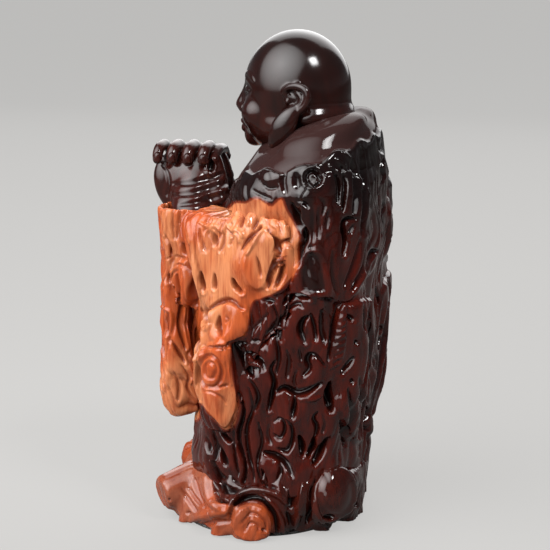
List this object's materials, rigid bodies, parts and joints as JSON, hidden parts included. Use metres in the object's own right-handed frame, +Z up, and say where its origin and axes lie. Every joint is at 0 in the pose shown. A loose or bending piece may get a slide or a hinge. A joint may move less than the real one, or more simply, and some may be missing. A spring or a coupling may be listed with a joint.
{
  "type": "carved standing figure",
  "caption": "Carved hardwood statue of a bald, long-eared, stout standing figure in a tree-bark robe, with hands clasped before the chest, on a root base.",
  "frame": {"origin": "on the ground, in the middle of the felt that the figure rests on", "axes": "+Z up; the figure faces -Y; its left side is +X"},
  "size_m": [0.2017, 0.1989, 0.4199],
  "materials": {
    "dark_heartwood": "gloss lacquer over deep carving, near-black brown to red-brown",
    "polished_heartwood": "smooth, high-gloss lacquer, near-black brown",
    "pale_sapwood": "gloss lacquer over carving, orange-brown with a fine upright grain",
    "base_wood": "gloss lacquer, dark red-brown with orange sawn ends",
    "dowel_wood": "plain, unfinished",
    "felt": "matt felt"
  },
  "bodies": {
    "root": {"felt_sheet": "felt", "root_base": "base_wood", "trunk_robe": "dark_heartwood", "head": "polished_heartwood", "clasped_hands": "polished_heartwood", "left_sleeve": "pale_sapwood", "right_sleeve": "pale_sapwood", "neck_dowel": "dowel_wood", "left_base_dowel": "dowel_wood", "right_base_dowel": "dowel_wood", "left_wrist_dowel": "dowel_wood", "right_wrist_dowel": "dowel_wood", "left_sleeve_dowel_1": "dowel_wood", "left_sleeve_dowel_2": "dowel_wood", "right_sleeve_dowel_1": "dowel_wood", "right_sleeve_dowel_2": "dowel_wood"}
  },
  "joints": []
}
